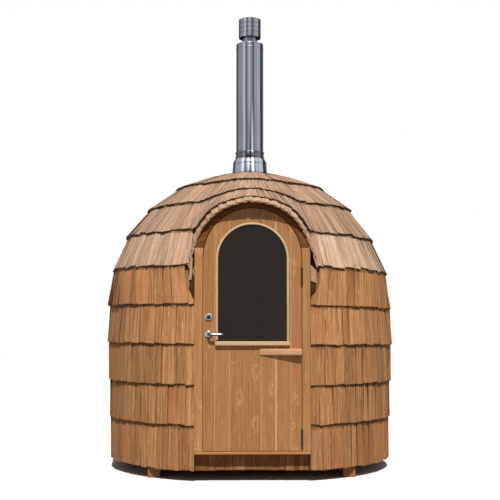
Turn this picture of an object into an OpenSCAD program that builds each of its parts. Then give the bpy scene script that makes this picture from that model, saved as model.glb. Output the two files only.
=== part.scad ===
// Igloo sauna: a round timber cabin on two skids. The shingled shell leans out
// a little up the wall and closes as a dome. An arched door stands in a
// dormer under an eyebrow hood, and an insulated flue leaves at the top.
// The door faces -Y, height is +Z and the ground is z = 0.

/* [Shell] */
// Radius of the lowest shingle line
foot_r = 1094; // [1060:1:1130]
// Length of the lowest shingle course, up the wall
first_exposure = 298; // [285:1:310]
// Length of each other shingle course, up the shell
exposure = 283; // [276:1:290]
// Outward lean of the three lowest courses, in degrees
flare = 2; // [1:0.5:3]
// Inward lean of the fourth course, in degrees
tuck = 2; // [1:0.5:3]
// Inward lean of the fifth course, in degrees
shoulder_lean = 8; // [6:1:10]
// Inward lean of the sixth course, in degrees
eave_lean = 22; // [20:1:24]
// Inward lean of the seventh course, in degrees
roof_lean = 36; // [34:1:38]
// Inward lean of the eighth course, in degrees
upper_lean = 52; // [50:1:54]
// Inward lean of the cap course, in degrees
cap_lean = 71.5; // [70:0.5:75]
// Thickness of the timber wall and roof panels
wall_t = 45; // [35:1:60]
// Thickness of the overlapping shingles at a butt line
build_up = 30; // [24:1:36]
// How far each butt stands proud of the course below
butt_step = 14; // [8:1:18]
// Radius at which the roof panels meet the crown ring
crown_r = 160; // [140:1:200]

/* [Floor] */
// Height of the skids, from the ground to the foot of the shell
skid_h = 77; // [60:1:120]
// Width of each skid
skid_w = 87; // [70:1:120]
// How far the ends of the skids lie inside the foot of the shell
skid_in = 314; // [290:2:370]
// Distance between the middles of the skids
skid_pitch = 1400; // [1300:10:1500]
// Width of a floor joist
joist_w = 45; // [35:1:60]
// Height of a floor joist
joist_h = 90; // [70:1:120]
// Distance between the middles of the joists
joist_pitch = 350; // [300:5:360]
// Thickness of the floor deck
deck_t = 28; // [20:1:40]

/* [Doorway] */
// How far the door's face stands inside the radius of the shell's foot
door_inset = 54; // [40:1:64]
// Width of the frame's jambs and head
frame_w = 57; // [50:1:64]
// Depth of the jambs, front to back
frame_depth = 125; // [115:1:140]
// How far the door stop stands in from the frame
stop_w = 10; // [8:1:16]
// Thickness of the door stop
stop_t = 15; // [10:1:20]
// Thickness of the threshold board
threshold_t = 19; // [15:1:28]
// How far the threshold reaches out past the door's face
threshold_nose = 15; // [5:1:30]
// How far the skirt boards stand back from the door's face
skirt_back = 55; // [40:1:62]
// Thickness of the skirt boards
skirt_t = 20; // [15:1:25]
// Thickness of the beam behind the skirt
sill_t = 50; // [40:1:60]

/* [Door] */
// Width of the door leaf
leaf_w = 682; // [650:1:700]
// Height of the leaf's straight sides, below its round head
leaf_side = 1341; // [1320:1:1360]
// Thickness of the leaf
leaf_t = 45; // [38:1:50]
// Gap round the leaf
door_gap = 5; // [5:0.5:8]
// Width of the window
window_w = 478; // [440:1:500]
// Height of the window's foot over the foot of the leaf
window_up = 756; // [720:1:800]
// Height of the window's straight sides, below its round head
window_side = 573; // [540:1:590]
// Thickness of the window glass
glass_t = 10; // [6:1:14]
// How far the glass reaches under its trim
glass_lap = 10; // [6:1:14]
// Width of the trim round the window
trim_w = 14; // [11:1:24]
// Thickness of the trim round the window
trim_t = 8; // [5:1:12]
// Width of the ledge under the window
ledge_w = 517; // [480:1:560]
// Height of the ledge under the window
ledge_h = 29; // [20:1:40]
// How far the ledge stands out from the leaf
ledge_out = 26; // [18:1:32]
// Length of the wedge batten, from the hinge edge
batten_l = 292; // [200:1:320]
// Height of the wedge batten
batten_h = 44; // [30:1:60]
// Height of the batten's foot over the foot of the leaf
batten_up = 661; // [600:1:680]
// Thickness of the batten at its hinge end
batten_thick = 50; // [30:1:54]
// Thickness of the batten at its thin end
batten_thin = 6; // [4:1:12]

/* [Hinges] */
// Height of a hinge
hinge_h = 122; // [100:1:140]
// Height of the lower hinge's foot over the foot of the leaf
hinge_low = 26; // [20:1:120]
// Height of the upper hinge's foot over the foot of the leaf
hinge_high = 1145; // [1100:1:1190]
// Height of the leaf's knuckle, between the frame's two
leaf_knuckle_h = 46; // [40:1:52]
// Radius of the hinge knuckles
knuckle_r = 7; // [6:0.5:7.5]
// Radius of the hinge pins
pin_r = 3.5; // [3:0.5:4]
// Thickness of the hinge plates
plate_t = 1.9; // [1.5:0.1:2]
// Depth of the hinge plates along the edge of the leaf
plate_depth = 36; // [25:1:40]

/* [Handle] */
// Distance from the leaf's edge to the lock and handle
backset = 38; // [34:1:45]
// Height of the handle over the foot of the leaf
handle_up = 803; // [780:1:860]
// Height of the lock cylinder over the foot of the leaf
lock_up = 924; // [900:1:960]
// Radius of the handle's roses
rose_r = 26; // [22:0.5:28]
// Thickness of a rose
rose_t = 8; // [6:0.5:12]
// How much smaller a rose is at its face than at its foot
rose_bevel = 4; // [2:0.5:6]
// Length of the lever, from its pivot
lever_l = 103; // [90:1:125]
// Radius of the lever's grip
grip_r = 8; // [6:0.5:10]
// Radius of the lever's neck
neck_r = 9; // [8:0.5:11]
// How far the grip's middle stands off the leaf
grip_off = 45; // [38:1:55]
// Radius of the spindle through the leaf
spindle_r = 4; // [3.5:0.5:5]
// Radius of the lock cylinder's rose
lock_rose_r = 27; // [24:0.5:30]
// Radius of the lock cylinder
lock_r = 12; // [10:0.5:14]
// How far the lock cylinder stands out of its rose
lock_proud = 2; // [1:0.5:4]

/* [Hood] */
// Pitch of the hood's ridge, in degrees
hood_pitch = 20; // [18:1:22]
// How far the hood's rim reaches past the door's face
hood_reach = 100; // [80:1:110]
// Clearance of the hood's inside outside the frame
hood_margin = 7; // [4:1:12]
// Thickness of the hood's deck under its shingles
hood_deck_t = 14; // [10:1:20]
// Thickness of the shingles on the hood
hood_shingle_t = 16; // [12:1:20]
// How far the shingles reach past the hood's deck
hood_lip = 12; // [6:1:20]
// Length of the hood's tails below its round part
tail_l = 180; // [140:1:220]
// How far each tail flares out
tail_flare = 24; // [10:1:35]

/* [Flue] */
// Diameter of the insulated casing
casing_d = 218; // [205:1:225]
// Thickness of the flue's sheet metal
sheet_t = 2; // [1.5:0.5:3]
// Height of the casing's top
casing_top = 3350; // [3200:10:3450]
// Distance from the casing's top down to its seam
seam_drop = 40; // [24:1:60]
// Height of the raised seam
seam_h = 6; // [4:1:10]
// How far the seam stands out
seam_out = 2; // [1:0.5:4]
// Chamfer round the casing's top
casing_chamfer = 8; // [5:1:12]
// Inner diameter of the flue
bore_d = 115; // [100:1:130]
// Length of flue that shows between casing and cap
neck_h = 50; // [40:1:70]
// Diameter of the cap
cap_d = 178; // [165:1:190]
// Height of the cap
cap_h = 150; // [130:1:170]
// Chamfer round the cap's top
cap_chamfer = 6; // [4:1:10]
// Height of the three fins that hold the cap
fin_h = 40; // [30:1:60]
// Height of the fins' foot over the foot of the cap
fin_up = 10; // [5:1:20]
// How far the casing reaches below the crown
casing_drop = 30; // [20:1:60]
// How far the inner flue reaches below the casing
inlet_l = 80; // [60:1:120]
// Height of the flashing over the shingles
flashing_h = 76; // [60:1:90]
// Diameter of the flashing at its foot
flashing_d = 281; // [270:1:300]
// Diameter of the flashing at its top
flashing_top_d = 268; // [262:1:268]
// Height of the storm collar
collar_h = 46; // [36:1:56]
// Diameter of the storm collar's rim
collar_d = 271; // [269:1:285]
// Height of the storm collar's rim
collar_rim = 6; // [4:1:10]
// Height of the clamp band
clamp_h = 53; // [44:1:60]
// Diameter of the clamp band
clamp_d = 233; // [230:1:238]
// Depth of the groove round the clamp band
groove_d = 4; // [3:0.5:6]
// Height of the rib at each edge of the clamp band
rib_h = 8; // [6:1:10]
// Width of the clamp's latch
latch_w = 66; // [50:1:80]
// Height of the clamp's latch
latch_h = 28; // [20:1:36]
// How far the latch stands out from the clamp band
latch_out = 8; // [5:1:12]
// Depth of the latch, front to back
latch_d = 20; // [16:1:24]

/* [Hidden] */

$fn = 144;
fit = 0.3;          // clearance where one piece sits in another
tail_lap = 20;      // how far the hood's tails start inside its round part
over = 1;           // how far a cut runs past the face it leaves
knuckle_gap = 1;    // between a hinge's knuckles, and behind them
pin_fit = 0.1;      // clearance round a hinge pin
plate_gap = 1.5;    // between a hinge pin and the edge of the plates
spindle_gap = 1;    // clearance round the spindle
clamp_gap = 1;      // between the storm collar and the clamp band
cap_under = 10;     // how far the cap course aims in under the casing
bay_lap = 2;        // angle by which the walls run into the doorway's cut
cedar = "#b07a4a";
pale_cedar = "#c08b56";
grey_cedar = "#a9805c";
dark_timber = "#7d5534";
stainless = "#a9adb3";
black_steel = "#26231f";

courses = 9;
wall_courses = 5;   // courses below the roof panels
wall_segments = 7;
first_hooded = 4;   // first course that the hood covers part of, counted from 0
joists = 5;
lean = [flare, flare, flare, -tuck, -shoulder_lean, -eave_lean, -roof_lean,
        -upper_lean, -cap_lean];
lining = build_up + wall_t;

casing_r = casing_d / 2;
liner_r = bore_d / 2 + sheet_t;
cap_tip_r = casing_r - cap_under;

// Heights, from the ground up
deck_z = skid_h + joist_h;
skid_l = 2 * (foot_r - skid_in);
floor_z = deck_z + deck_t;
sill_z = floor_z + threshold_t;
leaf_z = sill_z + door_gap;
spring_z = leaf_z + leaf_side;
window_z = leaf_z + window_up;
window_spring_z = window_z + window_side;

face_y = foot_r - door_inset;
leaf_r = leaf_w / 2;
frame_in_r = leaf_r + door_gap;
frame_r = frame_in_r + frame_w;
window_r = window_w / 2;
seat_r = window_r + glass_lap;
back_y = face_y - leaf_t;
skirt_y = face_y - skirt_back;
sill_y = skirt_y - skirt_t;

hinge_x = leaf_r + door_gap / 2;
frame_knuckle_h = (hinge_h - leaf_knuckle_h) / 2 - knuckle_gap;
hinge_y = face_y + knuckle_r + knuckle_gap;
lever_x = -leaf_r + backset;

rim_r = face_y + hood_reach;
hood_in_r = frame_r + hood_margin;
hood_mid_r = hood_in_r + hood_deck_t;
hood_out_r = hood_mid_r + hood_shingle_t;
hood_axis_z = spring_z + frame_r + fit - hood_in_r / cos(hood_pitch);

bay_half = asin(frame_r / line(3)[0]) - bay_lap;
wall_turn = (360 - 2 * bay_half) / wall_segments;

casing_z = inner_z(casing_r) - casing_drop;
inlet_z = casing_z - inlet_l;
flashing_z = roof_z(flashing_d / 2);
collar_z = flashing_z + flashing_h;
clamp_z = collar_z + collar_h + clamp_gap;
cap_z = casing_top + neck_h;

// The box round the whole house has its middle on the origin
centre_y = (rim_r - line(3)[0]) / 2;

// Outer corner of butt line i, as [radius, height]; line 9 ends the cap course
function line(i) =
    i == 0 ? [foot_r, skid_h]
    : i < courses ? line(i - 1) + course_length(i - 1) * slope(i - 1)
    : line(i - 1) + (line(i - 1)[0] - cap_tip_r) / sin(cap_lean) * slope(i - 1);
function course_length(i) = i == 0 ? first_exposure : exposure;
function slope(i) = [sin(lean[i]), cos(lean[i])];
function bend(i) =
    i == 0 ? 0 : i == courses ? lean[i - 1] : (lean[i - 1] + lean[i]) / 2;
// The point at depth d under butt line i
function under(i, d) = line(i) - d * [cos(bend(i)), -sin(bend(i))];
// The same, at line i of a piece that ends just short of line last
function upto(i, last, d) = under(i, d) - (i == last ? fit : 0) * slope(last - 1);
function between(a, b, r) = a[1] + (b[1] - a[1]) * (a[0] - r) / (a[0] - b[0]);
// Height of the cap course's face, and of the crown's underside, at radius r
function roof_z(r) = between(line(courses - 1), under(courses, butt_step), r);
function inner_z(r) = between(under(courses - 1, lining), under(courses, lining), r);

module placed() {
    translate([0, centre_y, 0]) children();
}

// Stands a flat [x, z] shape up, from y = -near to y = -far
module upright(near, far) {
    translate([0, -far, 0]) rotate([90, 0, 0]) linear_extrude(near - far) children();
}

// A flat doorway shape with a round head
module arch(r, foot, spring) {
    translate([-r, foot]) square([2 * r, spring - foot]);
    translate([0, spring]) circle(r);
}

module arch_ring(r_out, r_in, spring) {
    difference() {
        translate([0, spring]) circle(r_out);
        translate([0, spring]) circle(r_in);
        translate([-2 * r_out, spring - 2 * r_out]) square([4 * r_out, 2 * r_out]);
    }
}

module arch_band(r_out, r_in, foot, spring) {
    difference() {
        arch(r_out, foot, spring);
        arch(r_in, foot - over, spring);
    }
}

module box(x, y, z) {
    translate([x[0], y[0], z[0]]) cube([x[1] - x[0], y[1] - y[0], z[1] - z[0]]);
}

// ---- Shell ----

// Section through the panels, from butt line a to butt line b
module panel_section(a, b) {
    polygon(concat([for (i = [a : b]) upto(i, b, build_up)],
                   [for (i = [b : -1 : a]) upto(i, b, lining)]));
}

// Everything within depth d of the shingle faces
module solid_of_depth(d) {
    rotate_extrude()
        polygon(concat([[0, line(0)[1]]], [for (i = [0 : courses]) under(i, d)],
                       [[0, under(courses, d)[1]]]));
}

module cabin_space() { solid_of_depth(lining + fit); }

module sheathed_solid() { solid_of_depth(build_up - fit); }

// The space that the door and its frame take through the shell
module portal() {
    upright(rim_r + over, 0) arch(frame_r + fit, 0, spring_z);
}

module wall(k) {
    color(cedar) placed() difference() {
        rotate([0, 0, -90 + bay_half + k * wall_turn])
            rotate_extrude(angle = wall_turn) panel_section(0, wall_courses);
        portal();
    }
}

module roof(quarter) {
    color(cedar) placed() difference() {
        rotate([0, 0, -135 + 90 * quarter])
            rotate_extrude(angle = 90) panel_section(wall_courses, courses);
        cylinder(r = crown_r, h = casing_top);
        portal();
    }
}

module crown_ring() {
    color(cedar) placed() difference() {
        intersection() {
            rotate_extrude() panel_section(courses - 1, courses);
            cylinder(r = crown_r - fit, h = casing_top);
        }
        cylinder(r = casing_r + fit, h = casing_top);
    }
}

module course(i) {
    color(i < wall_courses ? cedar : grey_cedar) placed() difference() {
        rotate_extrude()
            polygon([under(i, build_up - fit), line(i), upto(i + 1, i + 1, butt_step),
                     upto(i + 1, i + 1, build_up - fit)]);
        portal();
        if (i >= first_hooded && i < courses - 1) hood_shadow();
        if (i == courses - 1) cylinder(r = casing_r + fit, h = casing_top);
    }
}

// ---- Hood ----

// Lays a flat [x, up] shape along the hood's pitch
module along_hood() {
    translate([0, -face_y, hood_axis_z]) rotate([90 + hood_pitch, 0, 0])
        translate([0, 0, -face_y]) linear_extrude(face_y + 2 * hood_reach) children();
}

// All that is inside the hood's outline, which is round with two flared tails
module hood_solid(r) {
    along_hood() circle(r);
    along_hood() polygon([[over - r, tail_lap], [r - over, tail_lap],
                          [r + tail_flare, -tail_l], [-r - tail_flare, -tail_l]]);
}

module hood_band(r_out, r_in, reach) {
    difference() {
        intersection() {
            hood_solid(r_out);
            cylinder(r = reach, h = casing_top);
        }
        hood_solid(r_in);
        cylinder(r = line(courses - 1)[0], h = casing_top);
        sheathed_solid();
        portal();
    }
}

// What the hood covers of the courses behind it
module hood_shadow() {
    difference() {
        hood_solid(hood_out_r + fit);
        cylinder(r = line(courses - 1)[0], h = casing_top);
    }
}

module hood_deck() {
    color(dark_timber) placed() hood_band(hood_mid_r, hood_in_r, rim_r - hood_lip);
}

module hood_shingles() {
    color(grey_cedar) placed() hood_band(hood_out_r, hood_mid_r + fit, rim_r);
}

// ---- Floor ----

module skids() {
    color(dark_timber) placed() for (side = [-1, 1])
        translate([side * skid_pitch / 2 - skid_w / 2, -skid_l / 2, 0])
            cube([skid_w, skid_l, skid_h]);
}

module floor_joists() {
    color(cedar) placed() intersection() {
        union() for (i = [0 : joists - 1])
            translate([-foot_r, (i - (joists - 1) / 2) * joist_pitch - joist_w / 2, skid_h])
                cube([2 * foot_r, joist_w, joist_h]);
        cabin_space();
    }
}

module floor_deck() {
    color(pale_cedar) placed() intersection() {
        box([-foot_r, foot_r], [-sill_y + sill_t, foot_r], [deck_z, floor_z]);
        cabin_space();
    }
}

module front_sill() {
    color(cedar) placed()
        box([-frame_r, frame_r], [-sill_y, -sill_y + sill_t], [skid_h, floor_z]);
}

module skirt() {
    color(cedar) placed()
        box([-frame_r, frame_r], [-skirt_y, -sill_y], [skid_h, floor_z]);
}

module threshold() {
    color(pale_cedar) placed()
        box([-frame_r, frame_r], [-face_y - threshold_nose, -face_y + frame_depth],
            [floor_z, sill_z]);
}

// ---- Door frame ----

module jamb(side) {
    color(pale_cedar) placed() upright(face_y, face_y - frame_depth)
        translate([side > 0 ? frame_in_r : -frame_r, sill_z])
            square([frame_w, spring_z - sill_z]);
}

module arch_head() {
    color(pale_cedar) placed() difference() {
        upright(face_y, crown_r) arch_ring(frame_r, frame_in_r, spring_z);
        cabin_space();
    }
}

module door_stop() {
    color(pale_cedar) placed() upright(back_y - door_gap, back_y - door_gap - stop_t)
        arch_band(frame_in_r, frame_in_r - stop_w, sill_z, spring_z);
}

// ---- Door ----

module window_hole(r, drop) {
    arch(r, window_z - drop, window_spring_z);
}

module door_leaf() {
    color(pale_cedar) placed() difference() {
        upright(face_y, back_y) difference() {
            arch(leaf_r, leaf_z, spring_z);
            window_hole(seat_r, glass_lap);
        }
        through_leaf(handle_up, spindle_r + spindle_gap);
        through_leaf(lock_up, lock_r + fit);
    }
}

// A round bar through the leaf, at the lock's or handle's height
module through_leaf(up, r) {
    translate([lever_x, -face_y - over, leaf_z + up]) rotate([-90, 0, 0])
        cylinder(r = r, h = leaf_t + 2 * over);
}

module door_glass() {
    color(black_steel) placed() upright(face_y, face_y - glass_t)
        window_hole(seat_r - fit, glass_lap - fit);
}

module glazing_bead() {
    color(pale_cedar) placed() upright(face_y - glass_t, back_y) difference() {
        window_hole(seat_r, glass_lap);
        window_hole(window_r, 0);
    }
}

module window_trim() {
    color(pale_cedar) placed() upright(face_y + trim_t, face_y)
        arch_band(window_r + trim_w, window_r, window_z, window_spring_z);
}

module window_ledge() {
    color(pale_cedar) placed() upright(face_y + ledge_out, face_y)
        translate([-ledge_w / 2, window_z - ledge_h]) square([ledge_w, ledge_h]);
}

module door_batten() {
    color(cedar) placed() translate([leaf_r, -face_y, leaf_z + batten_up])
        linear_extrude(batten_h)
            polygon([[0, 0], [-batten_l, 0], [-batten_l, -batten_thin],
                     [0, -batten_thick]]);
}

// ---- Hinges ----

module at_hinges() {
    for (up = [hinge_low, hinge_high])
        translate([hinge_x, -hinge_y, leaf_z + up]) children();
}

// A plate in the gap beside the leaf, with its face at x
module hinge_plate(x, foot, h) {
    translate([x, pin_r + plate_gap, foot]) cube([plate_t, plate_depth, h]);
}

module frame_hinges() {
    color(black_steel) placed() at_hinges() {
        cylinder(r = pin_r, h = hinge_h);
        for (foot = [0, hinge_h - frame_knuckle_h]) {
            translate([0, 0, foot]) cylinder(r = knuckle_r, h = frame_knuckle_h);
            hinge_plate(door_gap / 2 - plate_t, foot, frame_knuckle_h);
        }
    }
}

module door_hinges() {
    foot = frame_knuckle_h + knuckle_gap;
    color(black_steel) placed() at_hinges() difference() {
        union() {
            translate([0, 0, foot]) cylinder(r = knuckle_r, h = leaf_knuckle_h);
            hinge_plate(-door_gap / 2, foot, leaf_knuckle_h);
        }
        cylinder(r = pin_r + pin_fit, h = hinge_h);
    }
}

// ---- Lock and handle ----

// Turns children so that their +Z points out of the leaf's face or back
module on_leaf(up, outside) {
    translate([lever_x, outside ? -face_y : -back_y, leaf_z + up])
        rotate([outside ? 90 : -90, 0, 0]) children();
}

module lock_cylinder() {
    color(stainless) placed() {
        for (outside = [true, false]) on_leaf(lock_up, outside) {
            cylinder(r1 = lock_rose_r, r2 = lock_rose_r - rose_bevel, h = rose_t);
            cylinder(r = lock_r, h = rose_t + lock_proud);
        }
        on_leaf(lock_up, false) translate([0, 0, -leaf_t]) cylinder(r = lock_r, h = leaf_t);
    }
}

module handle_roses() {
    color(stainless) placed() for (outside = [true, false])
        on_leaf(handle_up, outside) difference() {
            cylinder(r1 = rose_r, r2 = rose_r - rose_bevel, h = rose_t);
            translate([0, 0, -over]) cylinder(r = neck_r + fit, h = rose_t + 2 * over);
        }
}

module handle_lever() {
    color(stainless) placed() {
        for (outside = [true, false]) on_leaf(handle_up, outside) {
            translate([0, 0, fit]) cylinder(r = neck_r, h = grip_off - fit);
            translate([0, 0, grip_off]) sphere(neck_r);
            translate([0, 0, grip_off]) rotate([0, 90, 0])
                cylinder(r = grip_r, h = lever_l - grip_r);
            translate([lever_l - grip_r, 0, grip_off]) sphere(grip_r);
        }
        on_leaf(handle_up, false) translate([0, 0, -leaf_t - over])
            cylinder(r = spindle_r, h = leaf_t + 2 * over);
    }
}

// ---- Flue ----

module flue_casing() {
    z = casing_z;
    top = casing_top;
    seam = casing_top - seam_drop;
    inner = liner_r + fit;
    in_chamfer = casing_chamfer + sheet_t / 2;
    color(stainless) placed() rotate_extrude()
        polygon([[inner, z], [casing_r, z], [casing_r, seam - seam_h / 2],
                 [casing_r + seam_out, seam], [casing_r, seam + seam_h / 2],
                 [casing_r, top - casing_chamfer], [casing_r - casing_chamfer, top],
                 [inner, top], [inner, top - sheet_t],
                 [casing_r - in_chamfer, top - sheet_t],
                 [casing_r - sheet_t, top - in_chamfer],
                 [casing_r - sheet_t, z + sheet_t], [inner, z + sheet_t]]);
}

module flue_liner() {
    color(stainless) placed() difference() {
        translate([0, 0, inlet_z]) cylinder(r = liner_r, h = cap_z + cap_h / 2 - inlet_z);
        cylinder(r = bore_d / 2, h = casing_top + cap_h + neck_h);
    }
}

module rain_cap() {
    cap_r = cap_d / 2;
    in_chamfer = cap_chamfer + sheet_t / 2;
    color(stainless) placed() translate([0, 0, cap_z]) {
        rotate_extrude()
            polygon([[cap_r, 0], [cap_r, cap_h - cap_chamfer],
                     [cap_r - cap_chamfer, cap_h], [0, cap_h], [0, cap_h - sheet_t],
                     [cap_r - in_chamfer, cap_h - sheet_t],
                     [cap_r - sheet_t, cap_h - in_chamfer], [cap_r - sheet_t, 0]]);
        for (turn = [0, 120, 240]) rotate([0, 0, turn])
            translate([liner_r + fit, -sheet_t / 2, fin_up])
                cube([cap_r - liner_r - fit - sheet_t / 2, sheet_t, fin_h]);
    }
}

module clamp_band() {
    clamp_r = clamp_d / 2;
    groove_r = clamp_r - groove_d;
    color(stainless) placed() translate([0, 0, clamp_z]) difference() {
        union() {
            rotate_extrude()
                polygon([[casing_r, 0], [groove_r, 0], [clamp_r, rib_h],
                         [groove_r, 2 * rib_h], [groove_r, clamp_h - 2 * rib_h],
                         [clamp_r, clamp_h - rib_h], [groove_r, clamp_h],
                         [casing_r, clamp_h]]);
            translate([-latch_w / 2, -clamp_r - latch_out, (clamp_h - latch_h) / 2])
                cube([latch_w, latch_d, latch_h]);
        }
        translate([0, 0, -over])
            cylinder(r = casing_r + fit, h = clamp_h + 2 * over);
    }
}

module storm_collar() {
    rim = collar_d / 2;
    top = clamp_d / 2;
    inner = casing_r + fit;
    color(stainless) placed() translate([0, 0, collar_z]) rotate_extrude()
        polygon([[rim - sheet_t, 0], [rim, 0], [rim, collar_rim], [top, collar_h],
                 [inner, collar_h], [inner, collar_h - sheet_t],
                 [top - sheet_t, collar_h - sheet_t],
                 [rim - sheet_t, collar_rim - sheet_t / 2]]);
}

module roof_flashing() {
    foot = flashing_d / 2;
    top = flashing_top_d / 2;
    inner = casing_r + fit;
    color(stainless) placed() translate([0, 0, flashing_z]) rotate_extrude()
        polygon([[foot, 0], [top, flashing_h], [inner, flashing_h],
                 [inner, flashing_h - sheet_t], [top - sheet_t, flashing_h - sheet_t],
                 [foot - sheet_t, roof_z(foot - sheet_t) - flashing_z]]);
}

roof_names = ["roof_front", "roof_right", "roof_back", "roof_left"];

for (k = [0 : wall_segments - 1])
    wall(k);
for (q = [0 : 3]) roof(q);
crown_ring();
for (i = [0 : courses - 1])
    course(i);
hood_deck();
hood_shingles();
skids();
floor_joists();
floor_deck();
front_sill();
skirt();
threshold();
jamb(-1);  // jamb_left
jamb(1);  // jamb_right
arch_head();
door_stop();
frame_hinges();
door_leaf();
door_glass();
glazing_bead();
window_trim();
window_ledge();
door_batten();
door_hinges();
lock_cylinder();
handle_roses();
handle_lever();
flue_casing();
flue_liner();
rain_cap();
clamp_band();
storm_collar();
roof_flashing();
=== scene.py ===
import math
import random
import bmesh
import bpy
from mathutils import Matrix, Vector


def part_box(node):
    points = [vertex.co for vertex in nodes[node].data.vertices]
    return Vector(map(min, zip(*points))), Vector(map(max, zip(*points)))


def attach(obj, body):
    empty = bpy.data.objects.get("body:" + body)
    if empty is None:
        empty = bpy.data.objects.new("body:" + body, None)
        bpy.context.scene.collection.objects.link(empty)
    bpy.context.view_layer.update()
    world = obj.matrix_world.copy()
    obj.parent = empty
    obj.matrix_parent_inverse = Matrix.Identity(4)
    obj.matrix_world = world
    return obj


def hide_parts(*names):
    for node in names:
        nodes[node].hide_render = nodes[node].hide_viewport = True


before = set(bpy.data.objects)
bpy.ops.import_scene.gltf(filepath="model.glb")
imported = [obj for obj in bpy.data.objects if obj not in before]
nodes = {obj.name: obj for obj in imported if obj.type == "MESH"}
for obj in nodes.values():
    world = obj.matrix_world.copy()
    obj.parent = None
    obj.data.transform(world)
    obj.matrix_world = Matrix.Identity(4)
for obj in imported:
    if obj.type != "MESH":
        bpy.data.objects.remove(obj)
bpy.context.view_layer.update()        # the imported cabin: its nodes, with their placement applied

flueLow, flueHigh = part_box("flue_casing")
axisY = (flueLow[1] + flueHigh[1]) / 2        # the shell's upright axis
doorLow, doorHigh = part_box("door_leaf")
doorFaceY = doorLow[1]
up = Vector((0, 0, 1))
scene = bpy.context.scene


# Shader maths

class Value:        # a shader socket that ordinary maths works on
    def __init__(self, shading, socket):
        self.shading, self.socket = shading, socket

    def other(self, name):
        return Value(self.shading, self.socket.node.outputs[name])

    def maths(self, operation, *rest, clamp=False):
        return self.shading.node("Math", dict(operation=operation, use_clamp=clamp), self, *rest)

    def flipped(self, operation, b):        # b comes first
        return self.shading.node("Math", dict(operation=operation), b, self)

    def __add__(self, b): return self.maths("ADD", b)
    def __radd__(self, b): return self.maths("ADD", b)
    def __sub__(self, b): return self.maths("SUBTRACT", b)
    def __rsub__(self, b): return self.flipped("SUBTRACT", b)
    def __mul__(self, b): return self.maths("MULTIPLY", b)
    def __rmul__(self, b): return self.maths("MULTIPLY", b)
    def __truediv__(self, b): return self.maths("DIVIDE", b)
    def __rtruediv__(self, b): return self.flipped("DIVIDE", b)
    def __gt__(self, b): return self.maths("GREATER_THAN", b)
    def __lt__(self, b): return self.maths("LESS_THAN", b)

    def spread(self, low, high):        # a soft step, 0 at low and 1 at high
        return self.shading.node("MapRange", dict(interpolation_type="SMOOTHSTEP"),
                                 self, low, high)


class Shading:        # a node tree and the one method that adds its nodes
    def __init__(self, owner):
        owner.use_nodes = True
        self.tree = owner.node_tree
        self.tree.nodes.clear()

    def feed(self, socket, value):
        if isinstance(value, Value):
            self.tree.links.new(value.socket, socket)
        elif isinstance(value, tuple) and len(value) == 3 and socket.type == "RGBA":
            socket.default_value = (*value, 1.0)
        else:
            socket.default_value = value

    def node(self, kind, settings, *values, **named):
        node = self.tree.nodes.new("ShaderNode" + kind)
        for key, value in settings.items():
            if key == "stops":
                elements = node.color_ramp.elements
                elements.remove(elements[1])
                for order, (place, colour) in enumerate(value):
                    element = elements.new(place) if order else elements[0]
                    element.position, element.color = place, (*colour, 1.0)
            else:
                setattr(node, key, value)
        for socket, value in zip(node.inputs, values):
            self.feed(socket, value)
        for key, value in named.items():
            self.feed(node.inputs[key.replace("_", " ")], value)
        if node.outputs:
            return Value(self, node.outputs[0])

    def blend(self, share, a, b):        # colour a to colour b
        mix = self.node("Mix", dict(data_type="RGBA"), share).socket.node
        self.feed(mix.inputs[6], a)        # the node's colour sockets
        self.feed(mix.inputs[7], b)
        return Value(self, mix.outputs[2])

    def scaled(self, vector, by):        # a colour or a place times a number
        return self.node("VectorMath", dict(operation="SCALE"), vector, Scale=by)

    def place(self, x, y, z):
        return self.node("CombineXYZ", {}, x, y, z)

    def spot(self):        # the point itself, in the object's coordinates
        return self.node("TexCoord", {}).other("Object")

    def fromAxis(self):        # its x, y and z, with y from the shell's upright axis
        x = self.node("SeparateXYZ", {}, self.spot())
        return x, x.other("Y") - axisY, x.other("Z")

    def noise(self, place, detail=2.0, roughness=0.5):
        return self.node("TexNoise", {}, Vector=place, Scale=1.0, Detail=detail,
                         Roughness=roughness)

    def seen(self):        # 1 on the rays that see a background: camera, glossy, transmission
        camera = self.node("LightPath", {})
        glossy, through = camera.other("Is Glossy Ray"), camera.other("Is Transmission Ray")
        return camera.maths("MAXIMUM", glossy).maths("MAXIMUM", through)


class Finish(Shading):        # a material
    def __init__(self, name, **fixed):
        self.material = bpy.data.materials.new(name)
        super().__init__(self.material)
        shader = self.node("BsdfPrincipled", {})
        self.shader = shader.socket.node
        self.node("OutputMaterial", {}, shader)
        self.wear(**fixed)

    def wear(self, **links):        # sets or links the shader's own sockets
        for key, value in links.items():
            self.feed(self.shader.inputs[key.replace("_", " ")], value)
        return self.material


def paint(red, green, blue):        # a screen colour, 0 to 255, as linear light
    return tuple(((c / 255 + 0.055) / 1.055) ** 2.4 if c > 10 else c / 3294
                 for c in (red, green, blue))


# Wood

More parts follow.
